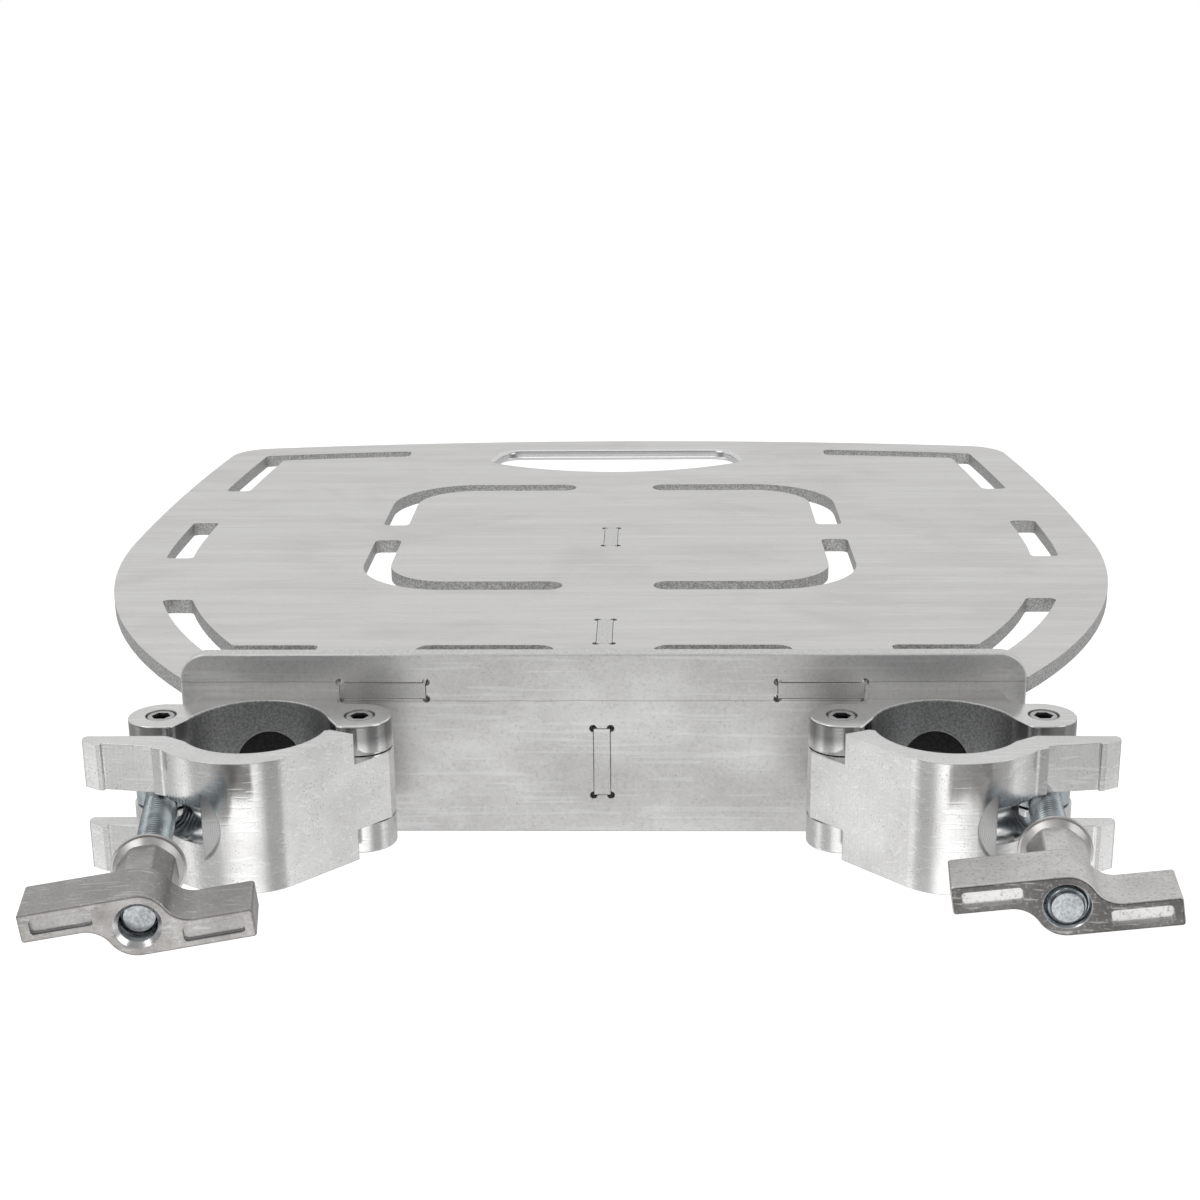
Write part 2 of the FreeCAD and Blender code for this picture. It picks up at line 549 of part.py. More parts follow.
def jaw_outline():
    """Edges of the closed jaw's plan: knuckle, flat, barrel and fork, round the bore."""
    z = -JAW_H / 2
    barrel_start, barrel_end = barrel_ends()
    along, foot = on_circle(1, FLAT_ANGLE), on_flat(0)
    pin_along = -(EAR_U + foot[0]) * along[0] + (EAR_W - foot[1]) * along[1]
    corner = on_flat(pin_along - FLAT_PAST_PIN)
    crown = on_circle(JAW_R, BARREL_CROWN)
    bore_start, bore_end = on_circle(BORE_R, BORE_FROM), on_circle(BORE_R, BORE_TO)
    corners = [barrel_end, PRONG_ROOT, PRONG_CREST, PRONG_TIP, PRONG_BACK, PRONG_HEEL,
               bore_start]
    edges = [line((*corner, z), (*barrel_start, z)),
             arc((*barrel_start, z), (*crown, z), (*barrel_end, z)),
             arc((*bore_start, z), (0, BORE_R, z), (*bore_end, z))]
    edges += [line((*a, z), (*b, z)) for a, b in zip(corners, corners[1:])]
    closing = [bore_end, JAW_LIP, (-EAR_U + 6.0, EAR_W), (-EAR_U - EAR_R, EAR_W), corner]
    edges += [line((*a, z), (*b, z)) for a, b in zip(closing, closing[1:])]
    return edges


def jaw_ends(knuckle_low, knuckle_high):
    """Everything on the pin's side of the jaw's end face, above and below the knuckle."""
    (u0, w0), (u1, w1) = JAW_END_OUT, JAW_END_IN
    slope = (w1 - w0) / (u1 - u0)
    left, right, back = -(EAR_U + 2 * EAR_R), -(BORE_R - 5 * OVER), EAR_W - 2 * EAR_R
    plan = [(left, w0 + slope * (left - u0)), (right, w0 + slope * (right - u0)),
            (right, back), (left, back)]
    return [polygon(plan, -HALF_H - OVER, knuckle_low),
            polygon(plan, knuckle_high, HALF_H + OVER)]


def clamp_jaw():
    """The closed jaw in clamp profile axes, where +z is down once it is in place."""
    solid = wire_face(jaw_outline()).extrude(V(0, 0, JAW_H))
    barrel_start, barrel_end = barrel_ends()
    solid = round_verticals(solid, FLAT_BLEND_R, [barrel_start])
    solid = round_verticals(solid, 5.0, [PRONG_HEEL])
    solid = round_verticals(solid, 4.0, [barrel_end, PRONG_ROOT])
    solid = round_verticals(solid, 1.5, [PRONG_TIP, PRONG_BACK])
    knuckle_low = -KNUCKLE_WAY_H / 2 + KNUCKLE_GAP_ABOVE + JAW_LIFT
    knuckle_high = KNUCKLE_WAY_H / 2 - KNUCKLE_GAP_BELOW + JAW_LIFT
    solid = solid.cut(jaw_ends(knuckle_low, knuckle_high))
    knuckle_h = knuckle_high - knuckle_low
    knuckle = Part.makeCylinder(EAR_R, knuckle_h, V(-EAR_U, EAR_W, knuckle_low))
    solid = solid.fuse(knuckle).removeSplitter()
    half_gap = FORK_GAP / 2
    slot = box(FORK_END_U + half_gap, 70, -20, 60, -half_gap, half_gap)
    slot_end = cylinder(half_gap, (FORK_END_U + half_gap, -20, 0), (0, 1, 0), 80)
    trough = Part.makeTorus(JAW_R, half_gap).common(box(TROUGH_START_U, 60, 10, 50, -20, 20))
    seat = cylinder(SEAT_R, (SEAT_U, SEAT_W, 0), (0, 1, 0), 20)
    pocket = slab(PRONG_POCKET, HALF_H + OVER)
    pin = disc(PIN_R + PIN_GAP, -EAR_U, EAR_W, HALF_H)
    bore = disc(BORE_R + BORE_ROOM, 0, 0, KNUCKLE_WAY_H / 2)
    bore = bore.common(box(-60, 0, -40, EAR_W + EAR_R, -HALF_H, HALF_H))
    solid = solid.cut([slot, slot_end, trough, seat, pocket, pin, bore])
    solid.translate(V(0, 0, -JAW_LIFT))
    return solid


def pin_solid(u):
    """Headless pin through both ears, with a hex socket in its upper end."""
    half = HALF_H - PIN_SHORT
    solid = disc(PIN_R - 0.01, u, EAR_W, half)
    rims = edges_at(solid, lambda p: abs(abs(p.z) - half) < 1e-3)
    solid = solid.makeChamfer(PIN_CHAMFER, rims)
    socket = hexagon(PIN_SOCKET_AF, 0, PIN_SOCKET_DEPTH)
    socket.translate(V(u, EAR_W, -half))
    return solid.cut(socket)


def swing_bolt(length):
    """Forged eye and M12 shank, made along +w from the eye's centre at the origin."""
    eye = disc(EYE_R, 0, 0, EYE_H / 2)
    shank = cylinder(BOLT_R, (0, 0, 0), (0, 1, 0), length)
    shank = shank.makeChamfer(BOLT_CHAMFER, edges_at(shank, lambda p: p.y > length - 1e-3))
    neck = Part.makeCone(BOLT_NECK_R, BOLT_R, BOLT_NECK_L)
    neck = aimed(neck, (0, EYE_R - 1.9, 0), (0, 1, 0))
    return eye.fuse([shank, neck]).cut(disc(PIN_R + PIN_GAP, 0, 0, HALF_H)).removeSplitter()


def domed_washer():
    """Cupped washer: a flat rim under a dome that meets the nut."""
    rim = cylinder(WASHER_R, (0, 0, 0), (0, 1, 0), WASHER_RIM_T)
    dome = Part.makeCone(WASHER_R - 0.8, NUT_HUB_R - 0.6, WASHER_T - WASHER_RIM_T)
    solid = rim.fuse(aimed(dome, (0, WASHER_RIM_T, 0), (0, 1, 0))).removeSplitter()
    return solid.cut(cylinder(BOLT_R + WASHER_BORE_GAP, (0, -1, 0), (0, 1, 0), WASHER_T + 2))


def s_outline(y):
    """Plan of hub and wings along the bolt: each wing's one edge is the hub's tangent."""
    half_span, r, low = WING_SPAN / 2, NUT_HUB_R, WING_H - NUT_HUB_R
    blend_z = low + WING_BLEND_R
    blend_u = math.sqrt((r + WING_BLEND_R) ** 2 - blend_z ** 2)
    leave = math.atan2(blend_z, blend_u)
    crown = (math.pi / 2 + leave) / 2
    middle = (leave - math.pi - math.pi / 2) / 2
    edges = []
    for s in (1, -1):
        def at(x, z):
            return (s * x, y, s * z)

        blend = at(r * math.cos(leave), r * math.sin(leave))
        hollow = at(blend_u + WING_BLEND_R * math.cos(middle),
                    blend_z + WING_BLEND_R * math.sin(middle))
        edges += [line(at(-half_span, r), at(0, r)),
                  arc(at(0, r), at(r * math.cos(crown), r * math.sin(crown)), blend),
                  arc(blend, hollow, at(blend_u, low)),
                  line(at(blend_u, low), at(half_span, low)),
                  line(at(half_span, low), at(half_span, -r))]
    return edges


def nut_window(length):
    """Shallow window sunk in the outer face of one wing."""
    end = WING_SPAN / 2 - WINDOW_EDGE
    cutter = box(-end, -end + WINDOW_L, length - WINDOW_DEPTH, length + OVER,
                 NUT_HUB_R - WING_H + WINDOW_RAIL, NUT_HUB_R - WINDOW_RAIL)
    corners = [e for e in cutter.Edges if abs(e.Vertexes[0].Y - e.Vertexes[-1].Y) > 1]
    return cutter.makeFillet(1.2, corners)


def hub_flats():
    """Prism whose sides are the hub's flats, two of them level with the wings."""
    corner_r = NUT_HUB_AF / 2 / math.cos(math.pi / NUT_HUB_FLATS)
    turns = [(i + 0.5) * 360 / NUT_HUB_FLATS for i in range(NUT_HUB_FLATS)]
    prism = polygon([on_circle(corner_r, turn) for turn in turns], -OVER, NUT_HUB_L + OVER)
    return aimed(prism, (0, 0, 0), (0, 1, 0))


def wing_nut():
    """Cast wing nut: long hub with eight flats, and two wings that run past it in an S."""
    length = NUT_HUB_L + WING_L
    wings = wire_face(s_outline(NUT_HUB_L)).extrude(V(0, WING_L, 0))
    tips = [e for e in wings.Edges if min(abs(v.X) for v in e.Vertexes) > WING_SPAN / 2 - 0.01
            and abs(e.Vertexes[0].Y - e.Vertexes[-1].Y) > 1]
    wings = wings.makeFillet(1.0, tips)
    wings = wings.makeFillet(NUT_EDGE_R, edges_at(wings, lambda p: abs(p.y - length) < 1e-3))
    hub = cylinder(NUT_HUB_R, (0, 0, 0), (0, 1, 0), NUT_HUB_L + OVER)
    hub = hub.makeFillet(NUT_EDGE_R, edges_at(hub, lambda p: abs(p.y) < 1e-3))
    hub = hub.common(hub_flats())
    solid = hub.fuse(wings).removeSplitter()
    window = nut_window(length)
    window_b = window.copy()
    window_b.rotate(V(0, 0, 0), Y_AXIS, 180)
    bore = cylinder(BOLT_R + NUT_BORE_GAP, (0, -OVER, 0), (0, 1, 0), length + 2 * OVER)
    mouth = Part.makeCone(BOLT_R, BOLT_R + NUT_MOUTH, NUT_MOUTH)
    mouth = aimed(mouth, (0, length - NUT_MOUTH + 0.4, 0), (0, 1, 0))
    return solid.cut([window, window_b, bore, mouth])


def on_bolt(shape, side, along):
    """Slide a part out along the swing bolt, lean it with the bolt and put it on its pin."""
    placed = shape.copy()
    placed.translate(V(0, along, 0))
    placed.rotate(V(0, 0, 0), Z_AXIS, side["swing"])
    placed.translate(V(EAR_U, EAR_W, 0))
    return to_clamp(placed, side["sign"])


def tilted_nut(side):
    nut = wing_nut()
    # Both nuts are the same casting: undo the mirror that to_clamp gives the left side.
    if side["sign"] > 0:
        nut = mirrored(nut)
    nut.rotate(V(0, 0, 0), Y_AXIS, side["tilt"] * side["sign"])
    return nut


# --- hidden fixings behind each clamp ------------------------------------------------
def on_screw_axis(shape, y, sign):
    """Put a part made along +Z on the clamp's fixing axis, starting at y and running to +Y."""
    return aimed(shape, (sign * TUBE_SPACING / 2, y, 0), (0, 1, 0))


def mounting_screw(sign):
    head_h = SCREW_HEAD_R - SCREW_R
    shank = Part.makeCylinder(SCREW_R, SCREW_L - head_h, V(0, 0, head_h))
    cone = Part.makeCone(SCREW_HEAD_R, SCREW_R, head_h, V(0, 0, HEAD_RIM))
    band = Part.makeCylinder(SCREW_HEAD_R, HEAD_RIM)
    solid = band.fuse([cone, shank]).removeSplitter()
    solid = solid.cut(hexagon(SCREW_SOCKET_AF, -OVER, 4.5))
    return on_screw_axis(solid, BORE_R + HEAD_SINK, sign)


def mounting_washer(sign):
    ring = Part.makeCylinder(FLAT_WASHER_R, FLAT_WASHER_T)
    ring = ring.cut(Part.makeCylinder(SCREW_HOLE_R, FLAT_WASHER_T))
    return on_screw_axis(ring, PLATE_BACK_Y, sign)


def mounting_nut(sign):
    body = hexagon(NUT_AF, 0, LOCKNUT_H - NYLON_H).common(
        Part.makeCone(NUT_AF / 2 + 6, NUT_AF / 2 + 0.4, LOCKNUT_H))
    collar = Part.makeCylinder(NUT_AF / 2 - 0.4, NYLON_H, V(0, 0, LOCKNUT_H - NYLON_H))
    seat = Part.makeCylinder(SCREW_R + 1.6, NYLON_H, V(0, 0, LOCKNUT_H - NYLON_H - 0.6))
    solid = body.fuse(collar).cut([seat, Part.makeCylinder(SCREW_R + 0.02, LOCKNUT_H)])
    return on_screw_axis(solid.removeSplitter(), PLATE_BACK_Y + FLAT_WASHER_T, sign)


def nut_lock_ring(sign):
    ring = Part.makeCylinder(SCREW_R + 1.55, NYLON_H - 0.7).cut(
        Part.makeCylinder(SCREW_R + 0.02, NYLON_H))
    start = PLATE_BACK_Y + FLAT_WASHER_T + LOCKNUT_H - NYLON_H - 0.6
    return on_screw_axis(ring, start, sign)


# --- all nodes -----------------------------------------------------------------------
def build():
    nodes = {"shelf_plate": shelf_plate(), "front_plate": front_plate(),
             "centre_rib": centre_rib(), "shelf_weld_beads": shelf_weld_beads(),
             "rib_weld_beads": rib_weld_beads()}
    saddle, jaw = clamp_saddle(), clamp_jaw()
    for name, side in SIDES.items():
        sign = side["sign"]
        nut_back = side["nut_face"] - NUT_HUB_L - WING_L
        nodes[name + "_clamp_saddle"] = to_clamp(saddle, sign)
        nodes[name + "_clamp_jaw"] = to_clamp(jaw, sign)
        nodes[name + "_hinge_pin"] = to_clamp(pin_solid(-EAR_U), sign)
        nodes[name + "_bolt_pin"] = to_clamp(pin_solid(EAR_U), sign)
        nodes[name + "_swing_bolt"] = on_bolt(swing_bolt(side["bolt"]), side, 0)
        nodes[name + "_domed_washer"] = on_bolt(domed_washer(), side, nut_back - WASHER_T)
        nodes[name + "_wing_nut"] = on_bolt(tilted_nut(side), side, nut_back)
        nodes[name + "_mounting_screw"] = mounting_screw(sign)
        nodes[name + "_mounting_washer"] = mounting_washer(sign)
        nodes[name + "_mounting_nut"] = mounting_nut(sign)
        nodes[name + "_nut_lock_ring"] = nut_lock_ring(sign)
    return nodes


os.makedirs("parts", exist_ok=True)
for node, shape in build().items():
    shape.exportStep("parts/" + node + ".step")
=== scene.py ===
import math

import bpy
from mathutils import Matrix, Vector


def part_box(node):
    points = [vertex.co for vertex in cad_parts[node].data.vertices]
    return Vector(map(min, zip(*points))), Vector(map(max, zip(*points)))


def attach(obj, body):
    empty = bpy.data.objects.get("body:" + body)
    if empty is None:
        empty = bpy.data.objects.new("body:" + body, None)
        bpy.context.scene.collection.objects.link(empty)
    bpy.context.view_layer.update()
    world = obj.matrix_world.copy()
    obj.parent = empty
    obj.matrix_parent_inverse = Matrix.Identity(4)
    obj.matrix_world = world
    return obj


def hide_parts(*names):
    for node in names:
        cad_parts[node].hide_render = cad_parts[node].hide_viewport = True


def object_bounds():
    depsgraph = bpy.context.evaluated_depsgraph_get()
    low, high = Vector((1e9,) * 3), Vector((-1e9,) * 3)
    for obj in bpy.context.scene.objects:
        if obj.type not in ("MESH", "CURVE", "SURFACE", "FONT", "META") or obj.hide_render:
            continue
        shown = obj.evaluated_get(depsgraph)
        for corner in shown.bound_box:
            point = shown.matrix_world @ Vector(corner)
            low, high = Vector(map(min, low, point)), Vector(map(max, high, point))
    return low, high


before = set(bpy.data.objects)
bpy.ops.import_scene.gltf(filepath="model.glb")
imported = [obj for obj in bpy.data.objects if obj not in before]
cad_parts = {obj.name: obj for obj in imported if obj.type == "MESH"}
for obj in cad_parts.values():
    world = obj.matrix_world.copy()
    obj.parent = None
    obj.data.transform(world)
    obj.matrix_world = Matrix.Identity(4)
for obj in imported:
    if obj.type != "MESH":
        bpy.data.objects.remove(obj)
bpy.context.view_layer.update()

MM = 0.001
TURN = 2 * math.pi

# --- camera --------------------------------------------------------------------------
CAMERA_AT = Vector((0.01736, -0.62272, 0.26639))
CAMERA_YAW, CAMERA_PITCH, CAMERA_ROLL = 1.527, 17.519, -0.575      # degrees
CAMERA_LENS, CAMERA_SENSOR = 57.79, 36.0                           # mm

# --- studio --------------------------------------------------------------------------
FLOOR_DROP = 0.16              # floor below the lowest point of the part
FLOOR_HALF = 30.0              # half the floor's width
FLOOR_GLOW = 0.62              # keeps the floor white without bright lamps
# name, place, width and height, power in watts, point that it is aimed at
LAMPS = (("key", (-1.0, -0.5, 1.3), (0.9, 0.9), 3.5, (0, 0.1, 0)),
         ("fill", (1.3, -0.6, 0.7), (0.6, 1.2), 2.5, (0, 0.1, 0)),
         ("top", (0.0, 0.5, 1.7), (1.6, 1.0), 1.0, (0, 0.2, 0)))
# room brightness by height of the direction, from straight down (0) to straight up (1)
ROOM_FRONT = ((0.0, 0.90), (0.22, 1.60), (0.29, 1.40), (0.345, 0.85), (0.42, 0.34), (0.50, 0.24),
              (0.64, 0.50), (1.0, 0.66))
ROOM_BACK = ((0.0, 0.60), (0.40, 0.50), (0.50, 0.62), (0.70, 0.70), (1.0, 0.66))
# part of that brightness left, from straight ahead of the part (0) round to its sides (1)
ROOM_SWEEP = ((0.0, 1.0), (0.10, 1.0), (0.30, 0.42), (0.58, 0.42), (0.85, 1.0))
ROOM_RIGHT_SHADE = 0.22        # how much dimmer the right half is

# --- shelf, as the CAD model has it ---------------------------------------------------
HAND_SLOT_HALF = 70 * MM                       # from the middle to past the slot's end
HAND_SLOT_NEAR, HAND_SLOT_FAR = 356.5 * MM, 412.5 * MM

# --- clamps, as the CAD model has them ------------------------------------------------
BORE_X, BORE_R = 120.0 * MM, 25.5 * MM
SEAT_X, SEAT_R = 141.0 * MM, 14.6 * MM         # spot face under the washer
PIN_HOLE_R, EAR_R, EAR_FOOT = 5.36 * MM, 11.5 * MM, 13.4 * MM
PIN_SOCKET_R = 3.55 * MM
NUT_MOUTH_R, WINDOW_FROM_R = 7.45 * MM, 10.5 * MM
BOLT_R, BOLT_CHAMFER = 5.83 * MM, 1.0 * MM
NECK_FOOT, NECK_START, NECK_R, NECK_L = 8.0 * MM, 8.9 * MM, 7.35 * MM, 5.0 * MM
THREAD_PITCH, THREAD_DEPTH = 1.75 * MM, 0.95 * MM
THREAD_FACETS, RINGS_A_PITCH = 40, 8
FLANK_SLOPE, CREST_FLAT = 1.25, 0.12           # of the thread's groove
EYE_R, EYE_BORE_R, EYE_BEVEL, EYE_FACETS = 10.75 * MM, 5.4 * MM, 0.5 * MM, 72
# lean of the bolt in degrees, lengths from its pivot, and how pale the nut's parts are: painted
# light and shade, set apart for each side
SIDES = {
    "left": {"sign": -1, "lean": 9.3, "bolt": 110.0 * MM, "nut_face": 116.0 * MM,
             "nut_body_painted_light": 0.38, "nut_front_painted_light": 0.42, "window": 0.52},
    "right": {"sign": 1, "lean": 6.2, "bolt": 101.6 * MM, "nut_face": 100.8 * MM,
              "nut_body_painted_light": 0.68, "nut_front_painted_light": 0.17, "window": 0.92},
}

# --- faint scribed lines on the front plate -------------------------------------------
LINE_ON_ENDS, LINE_IN_MIDDLE = 27.8 * MM, 20.4 * MM      # heights
LINE_BREAK_X = 96 * MM                                   # where one gives way to the other


def add_camera():
    yaw, pitch, roll_smooth_and_highlight = (math.radians(a) for a in (CAMERA_YAW, CAMERA_PITCH, CAMERA_ROLL))
    forward = Vector((-math.sin(yaw) * math.cos(pitch), math.cos(yaw) * math.cos(pitch),
                      -math.sin(pitch)))
    level = Vector((math.cos(yaw), math.sin(yaw), 0.0))
    upright = level.cross(forward)
    right = math.cos(roll_smooth_and_highlight) * level + math.sin(roll_smooth_and_highlight) * upright
    up = -math.sin(roll_smooth_and_highlight) * level + math.cos(roll_smooth_and_highlight) * upright
    data = bpy.data.cameras.new("camera")
    data.lens, data.sensor_width = CAMERA_LENS, CAMERA_SENSOR
    data.clip_start, data.clip_end = 0.01, 60.0
    camera = bpy.data.objects.new("camera", data)
    turn = Matrix((right, up, -forward)).transposed().to_4x4()
    camera.matrix_world = Matrix.Translation(CAMERA_AT) @ turn
    bpy.context.scene.collection.objects.link(camera)
    bpy.context.scene.camera = camera


# --- node graphs -----------------------------------------------------------------------
class Graph:
    """A material's node tree with short helpers; every helper gives back a socket."""

    def __init__(self, name, metallic=1.0):
        self.material = bpy.data.materials.new(name)
        self.material.use_nodes = True
        self.tree = self.material.node_tree
        self.tree.nodes.clear()
        self.shader = self.node("ShaderNodeBsdfPrincipled")
        self.shader.inputs["Metallic"].default_value = metallic
        end = self.node("ShaderNodeOutputMaterial")
        self.tree.links.new(self.shader.outputs[0], end.inputs["Surface"])
        coord = self.node("ShaderNodeTexCoord")
        self.place = coord.outputs["Object"]
        self.facing = coord.outputs["Normal"]

    def node(self, kind, **settings):
        made = self.tree.nodes.new(kind)
        for key, value in settings.items():
            setattr(made, key, value)
        return made

    def feed(self, socket, value):
        """Links a socket, or sets a plain value."""
        if isinstance(value, bpy.types.NodeSocket):
            self.tree.links.new(value, socket)
        else:
            socket.default_value = value

    def math(self, kind, a, b=0.0, clamp=False):
        made = self.node("ShaderNodeMath", operation=kind, use_clamp=clamp)
        self.feed(made.inputs[0], a)
        self.feed(made.inputs[1], b)
        return made.outputs[0]

    def times(self, a, b):
        return self.math("MULTIPLY", a, b)

    def plus(self, a, b):
        return self.math("ADD", a, b)

    def vector(self, kind, a, b=(0.0, 0.0, 0.0)):
        made = self.node("ShaderNodeVectorMath", operation=kind)
        self.feed(made.inputs[0], a)
        self.feed(made.inputs[1], b)
        return made.outputs["Value" if kind in ("DOT_PRODUCT", "DISTANCE", "LENGTH") else 0]

    def stretched(self, scales):
        """The place in the object, scaled apart on each axis."""
        return self.vector("MULTIPLY", self.place, scales)

    def noise(self, scales, detail=3.0, rough=0.55, twist=0.0):
        made = self.node("ShaderNodeTexNoise")
        self.feed(made.inputs["Vector"], self.stretched(scales))
        self.feed(made.inputs["Scale"], 1.0)
        self.feed(made.inputs["Detail"], detail)
        self.feed(made.inputs["Roughness"], rough)
        self.feed(made.inputs["Distortion"], twist)
        return made.outputs["Fac"]

    def cells(self, scales):
        """Distance from the nearest of scattered points."""
        made = self.node("ShaderNodeTexVoronoi", feature="F1")
        self.feed(made.inputs["Vector"], self.stretched(scales))
        self.feed(made.inputs["Scale"], 1.0)
        return made.outputs["Distance"]

    def span(self, value, low, high, at_low=0.0, at_high=1.0):
        """Eases from at_low to at_high while the value goes from low to high."""
        made = self.node("ShaderNodeMapRange", interpolation_type="SMOOTHSTEP")
        for key, number in zip(("Value", "From Min", "From Max", "To Min", "To Max"),
                               (value, low, high, at_low, at_high)):
            self.feed(made.inputs[key], number)
        return made.outputs["Result"]

    def mix(self, mask, a, b):
        """Colour a where the mask is 0 and b where it is 1."""
        made = self.node("ShaderNodeMix", data_type="RGBA")
        self.feed(made.inputs["Factor"], mask)
        self.feed(made.inputs["A"], a)
        self.feed(made.inputs["B"], b)
        return made.outputs["Result"]

    def blend(self, mask, a, b):
        """The same for numbers."""
        made = self.node("ShaderNodeMix", data_type="FLOAT")
        self.feed(made.inputs["Factor"], mask)
        self.feed(made.inputs["A"], a)
        self.feed(made.inputs["B"], b)
        return made.outputs["Result"]

    def parts(self, socket):
        """A vector's three components."""
        made = self.node("ShaderNodeSeparateXYZ")
        self.feed(made.inputs[0], socket)
        return made.outputs

    def from_line(self, point, direction):
        """Distance from the straight line through the point."""
        step = self.vector("SUBTRACT", self.place, tuple(point))
        return self.vector("LENGTH", self.vector("CROSS_PRODUCT", step, tuple(direction)))

    def scratches(self, count, length, turn):
        """Thin lines in one main direction: rare where the stretched noise peaks."""
        made = self.node("ShaderNodeMapping")
        self.feed(made.inputs["Vector"], self.place)
        made.inputs["Rotation"].default_value = (turn * 0.6, turn * 0.4, turn)
        made.inputs["Scale"].default_value = (length, count, count)
        noise = self.node("ShaderNodeTexNoise")
        self.feed(noise.inputs["Vector"], made.outputs[0])
        self.feed(noise.inputs["Scale"], 1.0)
        self.feed(noise.inputs["Detail"], 1.0)
        return self.span(noise.outputs["Fac"], 0.62, 0.69)

    def edges(self, radius):
        """1 along outside and inside edges, from how far a rounded normal turns away."""
        rounded = self.node("ShaderNodeBevel", samples=4)
        self.feed(rounded.inputs["Radius"], radius)
        flat = self.node("ShaderNodeNewGeometry").outputs["Normal"]
        same = self.vector("DOT_PRODUCT", rounded.outputs[0], flat)
        return self.span(same, 0.985, 0.86), rounded.outputs[0]

    def finish(self, colour, rough, height, strength, depth, normal=None):
        """Joins colour, roughness and relief to the shader."""
        self.feed(self.shader.inputs["Base Color"], colour)
        self.feed(self.shader.inputs["Roughness"], rough)
        bump = self.node("ShaderNodeBump")
        self.feed(bump.inputs["Height"], height)
        self.feed(bump.inputs["Strength"], strength)
        self.feed(bump.inputs["Distance"], depth)
        if normal is not None:
            self.feed(bump.inputs["Normal"], normal)
        self.feed(self.shader.inputs["Normal"], bump.outputs[0])
        return self.material


def grey(value, warm=0.0):
    """A metal's colour: equal parts, a little redder where warm is above 0."""
    return (value * (1 + warm), value, value * (1 - warm), 1.0)


# --- finishes ----------------------------------------------------------------------------
def shelf_finish():
    """Mill-finish sheet: faint streaks across, stains, tiny pits; granular cut walls."""
    g = Graph("mill_finish_sheet")
    x, y, _ = g.parts(g.place)
    plate_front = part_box("front_plate")[0].y
    upright = g.math("ABSOLUTE", g.parts(g.facing)[2])
    wall = g.span(upright, 0.75, 0.45)
    streak = g.noise((5, 130, 130), 4)
    grain = g.noise((60, 1900, 1900), 2)
    stain = g.noise((14, 26, 26), 5, 0.6, 0.6)
    speck = g.span(g.cells((420, 420, 420)), 0.16, 0.05)
    rare = g.span(g.noise((45, 45, 45), 2), 0.56, 0.66)
    speck = g.times(speck, rare)
    mark = g.math("MAXIMUM", g.scratches(460, 16, 0.4), g.scratches(560, 22, 2.3))
    grit = g.noise((420, 900, 900), 3, 0.7)
    edge, rounded = g.edges(0.35 * MM)
    face = g.mix(g.span(streak, 0.3, 0.7), grey(0.80, 0.012), grey(0.86, 0.008))
    face = g.mix(g.span(stain, 0.42, 0.74, 0.0, 0.55), face, grey(0.70, 0.02))
    face = g.mix(g.times(speck, 0.7), face, grey(0.42, 0.02))
    face = g.mix(g.times(mark, 0.3), face, grey(0.97))
    face = g.mix(g.span(grit, 0.52, 0.72, 0.0, 0.35), face, grey(0.66, 0.014))
    sand = g.noise((1300, 1300, 1300), 4, 0.75)
    cut = g.mix(g.span(sand, 0.35, 0.65), grey(0.40, 0.02), grey(0.82))
    tab_end = g.span(y, plate_front + 0.9 * MM, plate_front + 0.5 * MM, 0.0, 0.7)
    cut = g.mix(tab_end, cut, face)
    colour = g.mix(wall, face, cut)
    # bright rims along edges: a painted highlight
    colour = g.mix(g.times(edge, 0.6), colour, grey(0.98))
    rough = g.span(streak, 0.3, 0.7, 0.40, 0.31)
    rough = g.blend(g.span(stain, 0.42, 0.74, 0.0, 0.5), rough, 0.48)
    rough = g.blend(wall, rough, 0.52)
    # the hand slot's rolled edge is smoother, and its colour is painted brighter as a highlight
    near_x = g.span(g.math("ABSOLUTE", x), HAND_SLOT_HALF + 2 * MM, HAND_SLOT_HALF - 2 * MM)
    near_y = g.times(g.span(y, HAND_SLOT_NEAR - 1.5 * MM, HAND_SLOT_NEAR + 1.5 * MM),
                     g.span(y, HAND_SLOT_FAR + 1.5 * MM, HAND_SLOT_FAR - 1.5 * MM))
    roll_smooth_and_highlight = g.times(g.times(near_x, near_y), g.span(upright, 0.995, 0.97))
    rough = g.blend(roll_smooth_and_highlight, rough, 0.19)
    colour = g.mix(roll_smooth_and_highlight, colour, g.mix(g.span(grain, 0.3, 0.7), grey(0.86), grey(0.93)))
    height = g.plus(g.times(grain, 0.45), g.times(speck, -0.8))
    height = g.plus(height, g.times(mark, -0.5))
    height = g.blend(wall, height, g.times(sand, 2.2))
    return g.finish(colour, rough, height, 0.35, 0.05 * MM, rounded)


